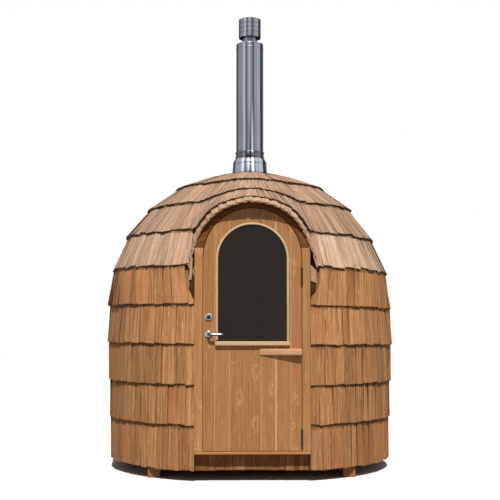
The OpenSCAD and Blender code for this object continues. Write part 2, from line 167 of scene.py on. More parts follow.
woods = dict(
    wallShingle=dict(light=(214, 159, 109), dark=(122, 76, 44), red=(180, 106, 64), tone=0.36,
                     streak=0.66, edge=0.35, end=0.75, rough=0.8, bump=0.002,
                     buttShadow=0.06),
    roofShingle=dict(light=(226, 195, 168), dark=(132, 96, 70), red=(190, 140, 106), tone=0.28,
                     streak=0.7, edge=0.4, end=0.75, rough=0.82, bump=0.002, buttShadow=0.03),
    crownShingle=dict(light=(206, 174, 148), dark=(116, 83, 61), red=(172, 124, 93), tone=0.28,
                      streak=0.7, edge=0.4, end=0.75, rough=0.82, bump=0.002, buttShadow=0.03),
    hoodShingle=dict(light=(224, 188, 158), dark=(142, 106, 80), red=(196, 144, 112), tone=0.18,
                     streak=0.6, edge=0.2, end=0.0, rough=0.82, bump=0.0012),
    doorBoard=dict(light=(188, 134, 84), dark=(128, 81, 43), red=(174, 117, 69), tone=0.08,
                   streak=0.45, knots=1.0, edge=-0.75, rough=0.55, bump=0.0008),
    battenWood=dict(light=(220, 176, 134), dark=(172, 126, 84), red=(196, 144, 102), tone=0.06,
                    streak=0.5, edge=0.1, rough=0.5, bump=0.0006),
    frameWood=dict(light=(201, 149, 97), dark=(134, 88, 49), red=(172, 112, 64), tone=0.14,
                   streak=0.5, knots=0.35, edge=0.15, rough=0.55, bump=0.0008),
    # the frame's wood darkened: painted shade under the hood, on the arch head
    shadedHeadWood=dict(light=(134, 84, 46), dark=(86, 48, 23), red=(108, 62, 32), tone=0.1,
                  streak=0.6, edge=0.15, rough=0.7, bump=0.0008),
    paleTrim=dict(light=(226, 198, 160), dark=(184, 148, 108), red=(196, 148, 102), tone=0.08,
                  streak=0.5, edge=0.1, rough=0.5, bump=0.0006),
    skirtWood=dict(light=(176, 122, 77), dark=(96, 55, 29), red=(156, 80, 46), tone=0.3,
                   streak=0.9, edge=0.3, end=0.4, rough=0.7, bump=0.001),
    floorWood=dict(light=(206, 164, 116), dark=(150, 106, 66), red=(184, 132, 86), tone=0.14,
                   streak=0.6, knots=0.6, edge=0.2, rough=0.55, bump=0.0005),
    # very dark wood for the hood's deck: painted shade under the hood
    shadedDeckWood=dict(light=(88, 52, 28), dark=(42, 23, 11), red=(72, 38, 19), tone=0.25,
                  streak=0.8, edge=0.3, end=0.4, rough=0.85, bump=0.0012),
)
# Counts per metre, across and along the fibres, of what the woods are drawn with
fibres = dict(knots=(11, 5.0), slow=(16, 0.8), lanes=(54, 1.5), broad=(130, 2.6), fine=(560, 14),
              flecks=(75, 11), wobble=(80, 34))
# Marks that the woods share: knots, flecks and swirls, rims with a painted highlight on door
# grooves, cut ends darkened partly as painted shade, and a painted sawtooth shadow under the butts
marks = dict(knotsAbove=0.42, knotReach=0.42, heart=(128, 78, 42), fleck=30, swirl=44,
             grooveHighlight=(250, 214, 164), endRim=0.035, sideRim=0.05, endGrainShade=(-0.25, -0.02),
             buttShadowPitch=0.038, buttShadowFrom=0.872, buttShadowSoft=0.012, buttShadowDark=0.45)


def paler(colour, by):
    return paint(*(min(255, c + by) for c in colour))


def woodFinish(name, light, dark, red, tone, streak, edge, rough, bump, knots=0.0, end=0.3,
               buttShadow=0.0):
    finish = Finish(name, Specular_IOR_Level=0.3 if rough < 0.7 else 0.1)
    across = finish.node("SeparateXYZ", {}, finish.node("UVMap", dict(uv_map="grain")))
    along = across.other("Y")
    tint = finish.node("Attribute", dict(attribute_name="tint"))
    side = tint.other("Alpha")
    first = finish.node("SeparateColor", {}, tint)        # each board has two tones of its own
    second, length = first.other("Green"), first.other("Blue")

    def spot(kind, seed):
        wide, long = fibres[kind]
        return finish.place(across * wide, along * long, seed)

    # the fibres run along the board, and rings bend round each knot
    near = 0.0
    if knots:
        cell = finish.node("TexVoronoi", dict(feature="F1"), Scale=1.0, Randomness=0.9,
                           Vector=spot("knots", first * 31))
        isKnot = finish.node("SeparateColor", {}, cell.other("Color")) > marks["knotsAbove"]
        near = (1 - cell.spread(0.0, marks["knotReach"])) * isKnot * knots
    slow = finish.noise(spot("slow", first * 57), 1.5)
    rings = ((slow + near * 0.35) * 60).maths("SINE") * 0.5 + 0.5        # the year rings
    lanes = finish.noise(spot("lanes", second * 19))
    broad = finish.noise(spot("broad", second * 43), 3.0, 0.62)
    fine = finish.noise(spot("fine", first * 71))
    shade = 0.5 + (broad - 0.5) * (2.1 * streak) + (fine - 0.5) * 1.1 \
        + (rings - 0.5) * (0.16 * streak) + (lanes - 0.5) * (1.4 * streak)
    shade = shade.maths("ADD", 0.0, clamp=True)
    colour = finish.blend(shade, paint(*dark), paint(*light))
    # pale flecks, drawn out along the fibres
    fleck = finish.noise(spot("flecks", first * 23 + 4)).spread(0.6, 0.72)
    colour = finish.blend(fleck * (0.5 * streak), colour, paler(light, marks["fleck"]))
    colour = finish.blend(second.spread(0.5, 1.0) * 0.3, colour, paint(*red))
    if knots:
        wobble = finish.noise(spot("wobble", first * 9))
        swirl = ((slow + near * 0.5 + wobble * 0.11) * 95).maths("SINE").spread(0.2, 0.9) \
            * near.spread(0.03, 0.3) * wobble.spread(0.38, 0.56)
        colour = finish.blend(swirl * 0.75, colour, paler(light, marks["swirl"]))
        colour = finish.blend(near.spread(0.8, 0.95) * 0.5, colour, paint(*marks["heart"]))
    # the rim of each board is darker, or paler where edge is negative: a painted highlight on the
    # door's groove faces
    rim = (1 - length.spread(0.0, marks["endRim"])) + (1 - side.spread(0.0, marks["sideRim"])) \
        + side.spread(1 - marks["sideRim"], 1.0)
    rim = rim.maths("MINIMUM", 1.0)
    level = 1 - tone / 2 + first * tone
    if edge < 0:
        colour = finish.blend(rim * -edge, colour, paint(*marks["grooveHighlight"]))
    else:
        level = level * (1 - rim * edge * 0.5)
    # cut ends and side faces darker: partly the end grain, partly painted shade in the gaps under
    # the butts
    level = level * (1 - (1 - length.spread(*marks["endGrainShade"])) * end)
    if buttShadow:        # a painted sawtooth shadow just under the butts of the row above
        saw = (across / marks["buttShadowPitch"] + slow * 2.5).maths("FRACT")
        underButtShadow = (length - marks["buttShadowFrom"] + saw * buttShadow).spread(0.0, marks["buttShadowSoft"])
        level = level * (1 - marks["buttShadowDark"] * underButtShadow)
    relief = finish.node("Bump", {}, Strength=0.75, Distance=bump,
                         Height=broad * 0.55 + fine * 0.3 + rings * 0.15)
    return finish.wear(Base_Color=finish.scaled(colour, level), Normal=relief,
                       Roughness=rough + (0.5 - shade) * 0.18)


lining = dict(radius=1.03, board=0.095, seam=(0.46, 0.485))


# Wood for the solids that stay as they are: round the wall, or along a beam
def solidWood(name, light, dark, layout, board=lining["board"]):
    finish = Finish(name, Specular_IOR_Level=0.3)
    x, y, z = finish.fromAxis()
    if layout == "round":
        across, along = x.maths("ARCTAN2", y) * lining["radius"], z
    elif layout == "beamX":
        across, along = y + z, x
    else:
        across, along = x + z, y
    lane = across / board
    index = lane.maths("FLOOR")
    gap = 0.0
    if layout == "round":
        gap = ((lane - index) - 0.5).maths("ABSOLUTE").spread(*lining["seam"])
    own = finish.node("TexWhiteNoise", dict(noise_dimensions="1D"), W=index + 0.5)
    broad = finish.noise(finish.place(across * 70, along * 2.0, own * 40), 3.0, 0.6)
    fine = finish.noise(finish.place(across * 420, along * 12, own * 60))
    shade = (0.5 + (broad - 0.5) * 1.6 + (fine - 0.5) * 0.7).maths("ADD", 0.0, clamp=True)
    colour = finish.blend(shade, paint(*dark), paint(*light))
    relief = finish.node("Bump", {}, Strength=0.8, Distance=0.002,
                         Height=broad * 0.2 + fine * 0.1 - gap)
    return finish.wear(Base_Color=finish.scaled(colour, (0.88 + own * 0.24) * (1 - gap * 0.7)),
                       Normal=relief, Roughness=0.66 - shade * 0.12)


# Painted reflection streaks round the flue: turn from the back, and brightness
reflectionStreaks = ((0.0, 0.9), (0.11, 1.2), (0.2, 0.6), (0.26, 0.3), (0.295, 0.5), (0.318, 0.05),
          (0.334, 1.0), (0.38, 0.98), (0.402, 1.05), (0.415, 1.5), (0.426, 1.9), (0.438, 0.7),
          (0.452, 0.6), (0.466, 0.85), (0.488, 1.15), (0.503, 0.8), (0.524, 0.65), (0.536, 0.45),
          (0.549, 1.15), (0.57, 1.0), (0.588, 1.5), (0.602, 1.1), (0.618, 1.6), (0.63, 0.2),
          (0.668, 0.02), (0.684, 0.6), (0.715, 0.9), (0.74, 0.3), (0.82, 1.1), (0.88, 0.6),
          (0.94, 1.2), (1.0, 0.9))
# The front's turn, and a painted dark and a painted bright reflection line beside it that fade out
# with the height
reflectionLines = dict(front=0.491, dark=0.493, darkWidth=(0.016, 0.006), bright=0.519,
                   brightWidth=(0.014, 0.005), fade=(2.45, 2.95))


def steelWithPaintedReflection(name, colour, rough):
    finish = Finish(name, Metallic=1.0)
    x, y, z = finish.fromAxis()
    turn = x.maths("ARCTAN2", y * -1) / math.tau + reflectionLines["front"]
    wave = finish.noise(finish.place(x * 4, y * 4, z * 1.6))
    lines = finish.noise(finish.place(turn * 130, z * 0.7, 0.0), 2.0, 0.6)
    # the painted reflection, by the turn round the flue
    reflected = finish.node("ValToRGB", dict(stops=[(spot, (c / 2,) * 3) for spot, c in reflectionStreaks]),
                          turn + (wave - 0.5) * 0.02)
    level = finish.node("SeparateColor", {}, reflected) * 2.9 - 0.5
    level = level.maths("MAXIMUM", 0.03) * (1 + (lines - 0.5) * 0.7 + (wave - 0.5) * 0.4)
    low = 1 - z.spread(*reflectionLines["fade"])
    dark = (turn - reflectionLines["dark"]).maths("ABSOLUTE").spread(*reflectionLines["darkWidth"])
    bright = (turn - reflectionLines["bright"]).maths("ABSOLUTE").spread(*reflectionLines["brightWidth"])
    level = level * (1 - low * 0.75 * dark) + low * 2.0 * bright
    relief = finish.node("Bump", {}, Strength=0.3, Distance=0.0003, Height=lines)
    return finish.wear(Base_Color=finish.scaled(paint(*colour), level), Normal=relief,
                       Roughness=rough + (wave - 0.5) * 0.2)


# Chrome's painted reflection, dark below the middle of each rounding and bright above
chromeReflection = ((0.0, 0.04), (0.2, 0.12), (0.34, 0.02), (0.5, 0.05), (0.6, 0.24), (0.66, 0.34),
          (0.78, 0.5), (0.88, 0.56), (1.0, 0.3))


def chromeWithPaintedReflection(name, rough):
    finish = Finish(name, Metallic=1.0)
    gleam = finish.node("SeparateColor", {}, finish.node("Attribute", dict(attribute_name="gleam")))
    smear = finish.noise(finish.scaled(finish.spot(), 90.0), 3.0)
    tone = finish.node("ValToRGB", dict(stops=[(spot, (c, c, c * 1.03)) for spot, c in chromeReflection]),
                       gleam + (smear - 0.5) * 0.08)
    return finish.wear(Base_Color=tone, Roughness=rough + (smear - 0.5) * 0.12)


# Opaque glass, its dark colour painted shade of the unlit room behind it
def glassFinish():
    finish = Finish("darkGlass", Specular_IOR_Level=0.16)
    film = finish.noise(finish.scaled(finish.spot(), 7.0), 3.0)
    colour = finish.blend(film, paint(27, 22, 18), paint(40, 34, 28))
    return finish.wear(Base_Color=colour, Roughness=0.1 + film * 0.12)


def ironFinish():
    finish = Finish("blackIron", Metallic=0.5)
    speck = finish.noise(finish.scaled(finish.spot(), 260.0), 3.0)
    colour = finish.blend(speck, paint(20, 18, 17), paint(46, 42, 39))
    relief = finish.node("Bump", {}, Strength=0.3, Distance=0.0004, Height=speck)
    return finish.wear(Base_Color=colour, Roughness=0.42 + speck * 0.2, Normal=relief)


finishes = {name: woodFinish(name, **look) for name, look in woods.items()}
finishes.update(
    wallLining=solidWood("wallLining", (196, 150, 102), (140, 94, 56), "round"),
    joistTimber=solidWood("joistTimber", (186, 138, 90), (126, 84, 50), "beamX", 0.2),
    skidTimber=solidWood("skidTimber", (176, 120, 74), (112, 68, 38), "beamY", 0.3),
    stainless=steelWithPaintedReflection("stainless", (127, 132, 141), 0.4),
    # a darker copy of the steel for the clamp band: painted shade
    clampSteel=steelWithPaintedReflection("clampSteel", (92, 94, 98), 0.4),
    collarSteel=steelWithPaintedReflection("collarSteel", (152, 157, 166), 0.46),
    polished=chromeWithPaintedReflection("polished", 0.2),
    darkGlass=glassFinish(), blackIron=ironFinish())
print("finishes ready:", len(finishes))


# Building helpers

def boxOf(name):        # the low and the high corner of a CAD node
    return [Vector(corner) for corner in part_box(name)]


def dress(name, look):        # the finish of a CAD node that stays as it is
    nodes[name].data.materials.clear()
    nodes[name].data.materials.append(finishes[look])


def finishPiece(name, bm, look, body="house", replaces=(), smooth=None):
    mesh = bpy.data.meshes.new(name)
    bmesh.ops.recalc_face_normals(bm, faces=bm.faces[:])
    bm.to_mesh(mesh)
    bm.free()
    mesh.materials.append(finishes[look])
    if smooth:
        mesh.polygons.foreach_set("use_smooth", [True] * len(mesh.polygons))
        mesh.set_sharp_from_angle(angle=math.radians(smooth))
    piece = bpy.data.objects.new(name, mesh)
    scene.collection.objects.link(piece)
    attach(piece, body)
    if replaces:
        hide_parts(*replaces)


def copyOf(name):        # a CAD node's shape, merged, with its flat faces joined
    bm = bmesh.new()
    bm.from_mesh(nodes[name].data)
    bmesh.ops.remove_doubles(bm, verts=bm.verts[:], dist=1e-5)
    bmesh.ops.dissolve_limit(bm, angle_limit=math.radians(0.6), verts=bm.verts[:],
                             edges=bm.edges[:])
    return bm


def roundEdges(bm, width, segments=2, limit=0.5, test=None):
    edges = [e for e in bm.edges if len(e.link_faces) == 2 and e.calc_face_angle(0) > limit
             and (test is None or test(e))]
    bmesh.ops.bevel(bm, geom=edges, offset=width, offset_type="OFFSET", segments=segments,
                    profile=0.5, affect="EDGES", material=-1, clamp_overlap=True)


def trimmed(bm, point, normal):        # cuts off what lies beyond a plane, and closes it
    cut = bmesh.ops.bisect_plane(bm, geom=bm.verts[:] + bm.edges[:] + bm.faces[:],
                                 plane_co=point, plane_no=normal, clear_outer=True)
    edges = [g for g in cut["geom_cut"] if isinstance(g, bmesh.types.BMEdge)]
    if edges:
        bmesh.ops.holes_fill(bm, edges=edges, sides=0)
    return bm


def pour(target, part):        # adds one bmesh to another
    mesh = bpy.data.meshes.new("part")
    part.to_mesh(mesh)
    part.free()
    target.from_mesh(mesh)
    bpy.data.meshes.remove(mesh)


def woodLayers(bm):
    return bm.loops.layers.uv.get("grain") or bm.loops.layers.uv.new("grain"), \
        bm.loops.layers.float_color.get("tint") or bm.loops.layers.float_color.new("tint")


def layGrain(bm, along, chance, isEdge=None):        # grain and tone of one straight board
    grain, tint = woodLayers(bm)
    along = Vector(along).normalized()
    offset = (chance.uniform(0, 9), chance.uniform(0, 9))
    tones = (chance.random(), chance.random())
    for face in bm.faces:
        across = face.normal.cross(along)
        if across.length < 0.3:        # the end grain
            across = along.orthogonal()
            run = along.cross(across)
        else:
            run = along
        across.normalize()
        for loop in face.loops:
            place = loop.vert.co
            loop[grain].uv = (place.dot(across) + offset[0], place.dot(run) + offset[1])
            loop[tint] = (*tones, 0.5, 0.0 if isEdge and isEdge(face) else 0.5)
    return bm


gleamFrom = Vector((-0.42, -0.24, 0.87))


# A painted reflection: how far each point of a polished piece faces up and forward; the function
# given darkens a part of it as painted shade
def layGleam(bm, paintedShadeAt):
    shine = bm.verts.layers.float_color.new("gleam")
    bmesh.ops.recalc_face_normals(bm, faces=bm.faces[:])
    bm.normal_update()
    for vert in bm.verts:
        value = 0.5 + 0.5 * vert.normal.dot(gleamFrom) - paintedShadeAt(vert.co)
        vert[shine] = (value, value, value, 1.0)
    return bm


def lathe(profile, steps, axis, centre):        # a closed outline of (radius, height), spun
    bm = bmesh.new()
    points = [bm.verts.new((radius, 0, height)) for radius, height in profile]
    edges = [bm.edges.new((a, b)) for a, b in zip(points, points[1:] + points[:1])]
    bmesh.ops.spin(bm, geom=points + edges, cent=(0, 0, 0), axis=(0, 0, 1),
                   angle=math.tau, steps=steps, use_merge=True)
    bmesh.ops.remove_doubles(bm, verts=bm.verts[:], dist=1e-6)
    bmesh.ops.dissolve_degenerate(bm, dist=1e-7, edges=bm.edges[:])
    turn = up.rotation_difference(Vector(axis)).to_matrix().to_4x4()
    bmesh.ops.transform(bm, matrix=Matrix.Translation(centre) @ turn, verts=bm.verts[:])
    return bm


def block(size, matrix, edge, segments):        # a box with rounded edges
    bm = bmesh.new()
    bmesh.ops.create_cube(bm, size=1.0, matrix=matrix @ Matrix.Diagonal((*size, 1)))
    roundEdges(bm, edge, segments)
    return bm


def sweep(stations, sides=24):        # rings of (centre, direction, radii, side) joined up
    bm = bmesh.new()
    loops = []
    for centre, direction, (wide, high), side in stations:
        direction, side = Vector(direction).normalized(), Vector(side).normalized()
        turn = Matrix((side, direction.cross(side), direction)).transposed().to_4x4()
        ring = bmesh.ops.create_circle(
            bm, segments=sides, radius=1.0,
            matrix=Matrix.Translation(centre) @ turn @ Matrix.Diagonal((wide, high, 1, 1)))
        verts = set(ring["verts"])
        loops.append([e for e in bm.edges if e.verts[0] in verts and e.verts[1] in verts])
    for a, b in zip(loops, loops[1:]):
        bmesh.ops.bridge_loops(bm, edges=a + b)
    for end in (loops[0], loops[-1]):
        bmesh.ops.edgeloop_fill(bm, edges=end)
    return bm


# The shell's shingles

shell = dict(footRadius=1.094, footHeight=0.077, firstCourse=0.298, course=0.283,
             leans=(2, 2, 2, -2, -8, -22, -36, -52, -71.5), capEnd=0.124,
             swell=(0, 0, 0, 0, 0, 0.010, 0.012, 0.012, 0.012, 0),
             raised=(0, 0.019, 0.017, 0.016, 0.010, 0.008, 0.001, 0, 0, 0),
             sway=(0, 0, 0.005, 0.009, 0.013, 0.012, 0.015, 0, 0, 0), capBow=0.016,
             step=0.0165, roofStep=0.0205, seed=410,
             curled={4: 0.011, 6: 0.006}, curledFrom=4.62, curledTo=5.2, gape=4.0)
hood = dict(axisHeight=1.52699, doorReach=1.040, pitch=math.radians(20), radius=0.440,
            flare=(0.014, 0.030), flareFrom=0.82, flareOver=0.18, ridgeRadius=1.08, bulge=0.013,
            backFrom=0.30, backOver=0.10, backMost=1.09, shortest=0.035)
board = dict(thick=0.0102, thin=0.005, lap=0.022, gap=0.0016, sink=0.0035, lift=0.003,
             jitter=0.004, skew=0.0035, twist=0.005, cup=(-0.0012, 0.0014), narrowest=0.6,
             frontTurn=0.5, frontWidths=(0.034, 0.062))
ply = dict(widths=(0.045, 0.11), below=0.0015, back=(0.002, 0.010), deeper=0.006)

lines = [(shell["footRadius"], shell["footHeight"])]
for order, lean in enumerate(shell["leans"]):
    radius, height = lines[-1]
    lean = math.radians(lean)
    run = shell["firstCourse"] if order == 0 else shell["course"]
    if order == len(shell["leans"]) - 1:
        run = (radius - shell["capEnd"]) / math.sin(-lean)
    lines.append((radius + run * math.sin(lean), height + run * math.cos(lean)))
lines = [(radius + swell, height + raised)
         for (radius, height), swell, raised in zip(lines, shell["swell"], shell["raised"])]


def shellRadius(height):        # the shell's outer face at a height
    for (r0, z0), (r1, z1) in zip(lines, lines[1:]):
        if height <= z1:
            return r0 + (r1 - r0) * (height - z0) / (z1 - z0)
    return lines[-1][0]


def ringPoint(radius, height, angle):        # angle 0 faces the front, and grows to +X
    return Vector((radius * math.sin(angle), axisY - radius * math.cos(angle), height))


def hoodPoint(x, rise, radius):        # (x, rise) of the hood's outline, at a plan radius
    y = -math.sqrt(radius ** 2 - x ** 2)
    pitch = hood["pitch"]
    run = (y + hood["doorReach"] + rise * math.sin(pitch)) / math.cos(pitch)
    return Vector((x, axisY + y, hood["axisHeight"] + rise * math.cos(pitch)
                   + run * math.sin(pitch)))


# place runs from the ridge, + to +X, round and down the tail
def hoodOutline(radius, place, bulge=0.0):
    side = math.copysign(1, place)
    quarter = radius * math.pi / 2
    flared = eased((abs(place) / quarter - hood["flareFrom"]) / hood["flareOver"])
    spread = hood["flare"][place > 0] * flared
    if abs(place) <= quarter:
        angle = place / radius
        arc = radius + bulge * math.sin(2 * angle) ** 2
        return arc * math.sin(angle) + side * spread, arc * math.cos(angle)
    down = abs(place) - quarter
    return side * (radius + spread), -down


def eased(share):
    share = min(max(share, 0.0), 1.0)
    return share * share * (3 - 2 * share)


# The butt line that climbs over the hood: turns in degrees, and the valley's radius and height
ridgeLine = dict(order=6, turns=(20.8, 22.9, 27.0), valley=(1.046, 1.766), proud=0.0035)
# The lines above it that still rise at the front, up to a turn in degrees
liftedLines = {7: dict(until=28, out=0.050, up=0.081, power=1.3),
               8: dict(until=32, out=0.004, up=0.018, power=1.5)}


def linePoint(order, angle):        # a point of butt line number order
    radius, height = lines[order]
    turn = abs((angle + math.pi) % math.tau - math.pi)
    height -= shell["sway"][order] * math.sin(angle)        # hand laid, a little out of level
    slope, valley, end = (math.radians(v) for v in ridgeLine["turns"])
    if order == ridgeLine["order"] and turn < end:
        low = ringPoint(*ridgeLine["valley"], valley)
        if turn < slope:
            x = hood["ridgeRadius"] * math.sin(turn)
            part = (x / hood["radius"]) ** 2
            arc = hood["radius"] + ridgeLine["proud"] + hood["bulge"] * 4 * part * (1 - part)
            point = hoodPoint(x, math.sqrt(arc ** 2 - x ** 2), hood["ridgeRadius"])
        elif turn < valley:
            near = linePoint(order, slope - 1e-6)
            point = near.lerp(low, (turn - slope) / (valley - slope))
        else:
            far = ringPoint(radius, height, end)
            point = low.lerp(far, (turn - valley) / (end - valley))
        point.x *= math.copysign(1, math.sin(angle))
        return point
    if order in liftedLines and turn < math.radians(liftedLines[order]["until"]):
        lifted = liftedLines[order]
        share = math.cos(math.pi / 2 * turn / math.radians(lifted["until"])) ** lifted["power"]
        return ringPoint(radius + lifted["out"] * share, height + lifted["up"] * share, angle)
    return ringPoint(radius, height, angle)


# One flat tapered board is a cube, cut once each way or plain, fitted between four corners
def boardShape(cuts):
    bm = bmesh.new()
    bmesh.ops.create_cube(bm, size=1.0)
    if cuts:
        bmesh.ops.subdivide_edges(bm, edges=bm.edges[:], cuts=cuts, use_grid_fill=True)
    mesh = bpy.data.meshes.new("boardShape")
    bm.to_mesh(mesh)
    bm.free()
    return mesh


boardMesh, plainMesh = boardShape(1), boardShape(0)


# corners: two at the butt, then the two above them in the opposite order
def layBoard(bm, corners, outward, thick, thin, chance, cup=0.0, shape=boardMesh, bow=0.0):
    grain, tint = woodLayers(bm)
    first = len(bm.verts)
    bm.from_mesh(shape)
    bm.verts.ensure_lookup_table()
    right, left, topLeft, topRight = corners
    normal = (left - right).cross(topRight - right).normalized()
    if normal.dot(outward) < 0:
        normal = -normal
    width = (left - right).length
    length = (topRight - right).length
    tones = (chance.random(), chance.random())
    offset = (chance.uniform(0, 9), chance.uniform(0, 9))
    faces = set()
    where = {}
    for vert in bm.verts[first:]:
        u, v, w = (c + 0.5 for c in vert.co)
        where[vert.index] = (u, v, w)
        outer = right.lerp(left, u).lerp(topRight.lerp(topLeft, u), v)
        depth = (thick + (thin - thick) * v) * (1 - w)
        vert.co = outer + normal * (cup * (1 - (2 * u - 1) ** 2) * (1 - v) - depth
                                    + bow * 4 * v * (1 - v))
        faces.update(vert.link_faces)
    for face in faces:
        spots = [where[loop.vert.index] for loop in face.loops]
        isEnd = all(v < 0.01 for u, v, w in spots)
        isSide = all(u < 0.01 for u, v, w in spots) or all(u > 0.99 for u, v, w in spots)
        for loop, (u, v, w) in zip(face.loops, spots):
            loop[grain].uv = (u * width + (1 - w) * thick + offset[0],
                              v * length - (1 - w) * thick + offset[1])
            loop[tint] = (*tones, -0.5 if isEnd else -0.3 if isSide else v, u)


# One layer of a row, from turn start to turn end: the ply below, or the boards that show
def shingleRow(bm, lower, upper, start, end, widths, chance, outward, step, under=False,
               ragged=None, bow=0.0, curled=0.0):
    isRoof = step > shell["step"]
    rough = 2.0 if isRoof else 1.1
    probe = 1e-3
    place = start
    while place < end - 1e-5:
        speed = (lower(place + probe) - lower(place)).length / probe
        overHood = isRoof and abs(place) < board["frontTurn"] and start < 0
        span = chance.uniform(*(board["frontWidths"] if overHood else widths)) / speed
        if ragged and not under and place == start:
            span = offcut["wide"] / speed
        if end - place - span < board["narrowest"] * widths[0] / speed:
            span = end - place
        least, most = (width / speed for width in offcut["last"])
        if ragged and not under and least < end - place < most:
            span = end - place - offcut["wide"] / speed
        gap = board["gap"] * chance.uniform(0.5, 1.9) / speed
        if under and overHood:
            place += span
            continue
        turn = (place + span / 2) % math.tau
        isCurled = curled and shell["curledFrom"] < turn < shell["curledTo"]
        if isCurled:        # weathered boards gape
            gap *= shell["gape"]
        a, b = place + gap / 2, place + span - gap / 2
        right, left, topRight, topLeft = lower(a), lower(b), upper(a), upper(b)
        out = outward((a + b) / 2)
        rise = ((topRight + topLeft) - (right + left)).normalized()
        sink, depth = board["sink"], step
        if under:        # the ply below shows as a second, darker edge
            sink, depth = board["thick"] + ply["below"], step + ply["deeper"]
            back = chance.uniform(*ply["back"])
            right, left = right + rise * back, left + rise * back
        drop = chance.uniform(-rough, rough) * board["jitter"]
        skew = chance.uniform(-rough, rough) * board["skew"]
        right = right + rise * (drop + skew) - out * (sink - chance.uniform(-1, 1) * board["lift"])
        left = left + rise * (drop - skew) - out * (sink - chance.uniform(-1, 1) * board["lift"])
        if isCurled:
            curl = curled * (0.65 + 0.35 * math.sin(place * 37))
            left, right = left + out * curl, right - out * curl * 0.2
        twist = board["twist"] * chance.uniform(-1.2, 1.5)
        topRight = topRight + rise * board["lap"] - out * (depth - twist)
        topLeft = topLeft + rise * board["lap"] - out * (depth + twist)
        corners = [right, left, topLeft, topRight]
        if ragged:
            corners = ragged(place, span, corners)
        layBoard(bm, corners, out, board["thick"] * chance.uniform(0.85, 1.05), board["thin"],
                 chance, cup=chance.uniform(*board["cup"]), bow=bow,
                 shape=plainMesh if under else boardMesh)
        place += span


rowWidths = [(0.06, 0.12), (0.06, 0.125), (0.055, 0.12), (0.06, 0.125), (0.05, 0.105),
             (0.07, 0.12), (0.07, 0.105), (0.065, 0.11), (0.07, 0.11)]
rowLooks = ["wallShingle"] * 5 + ["roofShingle"] + ["crownShingle"] * 3
doorway = dict(        # its half width at each butt line, and under the next
    bottom=(0.4045, 0.4045, 0.4045, 0.4045, 0.4045, 0.441),
    top=(0.4045, 0.4045, 0.4045, 0.4045, 0.441, 0.413))
offcut = dict(row=4, turn=math.radians(21.5), wide=0.047, last=(0.06, 0.12), innerTop=1.300,
              outerTop=1.365)


# The board beside each jamb, under the hood's tail, is cut short and slanting
def clipOffcut(place, span, corners):
    right, left, topLeft, topRight = corners
    if place < offcut["turn"]:
        heights = (offcut["innerTop"], offcut["outerTop"])
    elif place + span > math.tau - offcut["turn"]:
        heights = (offcut["outerTop"], offcut["innerTop"])
    else:
        return corners
    topRight = right.lerp(topRight, (heights[0] - right.z) / (topRight.z - right.z))
    topLeft = left.lerp(topLeft, (heights[1] - left.z) / (topLeft.z - left.z))
    return [right, left, topLeft, topRight]


def courseOutward(order):
    lean = math.radians(shell["leans"][order])

    def outward(angle):
        return Vector((math.sin(angle) * math.cos(lean), -math.cos(angle) * math.cos(lean),
                       -math.sin(lean)))
    return outward


for order in range(len(rowWidths)):
    bm = bmesh.new()
    chance = random.Random(shell["seed"] + order)
    bounds, squeeze = (-math.pi, math.pi), None
    if order < len(doorway["bottom"]):        # these rows stop at the doorway
        start = math.asin(doorway["bottom"][order] / lines[order][0])
        topStart = math.asin(doorway["top"][order] / lines[order + 1][0])
        bounds, squeeze = (start, math.tau - start), (math.pi - topStart) / (math.pi - start)

    def lower(angle):
        return linePoint(order, angle)

    def upper(angle):
        return linePoint(order + 1, math.pi + (angle - math.pi) * squeeze if squeeze else angle)

    isWall, isLast = rowLooks[order] == "wallShingle", order == len(rowWidths) - 1
    for under in (True, False):
        shingleRow(bm, lower, upper, *bounds, ply["widths"] if under else rowWidths[order], chance,
                   courseOutward(order), shell["step" if isWall else "roofStep"], under,
                   clipOffcut if order == offcut["row"] else None,
                   shell["capBow"] if isLast and not under else 0.0,
                   0.0 if under else shell["curled"].get(order, 0.0))
    finishPiece(f"shingles_{order + 1}", bm,
                rowLooks[order], replaces=(f"course_{order + 1}",))
print("shingle courses laid")


# The hood: its rim of shingles in front, and the deck of boards under it, darkened as painted shade

rimRow = dict(radius=hood["radius"], front=1.1358, back=1.035, inset=0.012, widths=(0.05, 0.066),
              droop=0.014, thick=0.009, dip=0.011, stagger=0.006, lap=0.020, tail=0.04,
              hangingRadius=1.128)
deckRow = dict(radius=0.4255, front=1.122, back=0.955, inset=0.035, widths=(0.06, 0.095),
               droop=0.005, thick=0.012, dip=0.0, stagger=0.012, lap=0.0, tail=0.13,
               hangingRadius=1.120)
hanging = dict(        # the boards that close the two tails: thickness, and (x, z) of their corners
    thick=0.008,
    rim=(((-0.424, 1.405), (-0.443, 1.398), (-0.429, 1.545), (-0.415, 1.552)),
         ((0.405, 1.396), (0.446, 1.380), (0.447, 1.466), (0.406, 1.506))),
    # the deck's boards here take the deck's dark wood, as painted shade in the tails
    deck=(((-0.405, 1.272), (-0.424, 1.315), (-0.442, 1.402), (-0.404, 1.436)),
          ((0.405, 1.298), (0.446, 1.352), (0.446, 1.385), (0.405, 1.400))))


def hoodBack(x, rise, row):        # how far back a board of the hood runs
    shellBack = shellRadius(hoodPoint(x, rise, 1.0).z) - row["inset"]
    share = eased((abs(x) - hood["backFrom"]) / hood["backOver"]) if rise > 0 else 1.0
    return row["back"] + (min(shellBack, hood["backMost"]) - row["back"]) * share


def hoodOutward(radius, place):
    x0, h0 = hoodOutline(radius, place - 0.001)
    x1, h1 = hoodOutline(radius, place + 0.001)
    flat = Vector((-(h1 - h0), 0, x1 - x0)).normalized()
    return Vector((flat.x, -flat.z * math.sin(hood["pitch"]), flat.z * math.cos(hood["pitch"])))


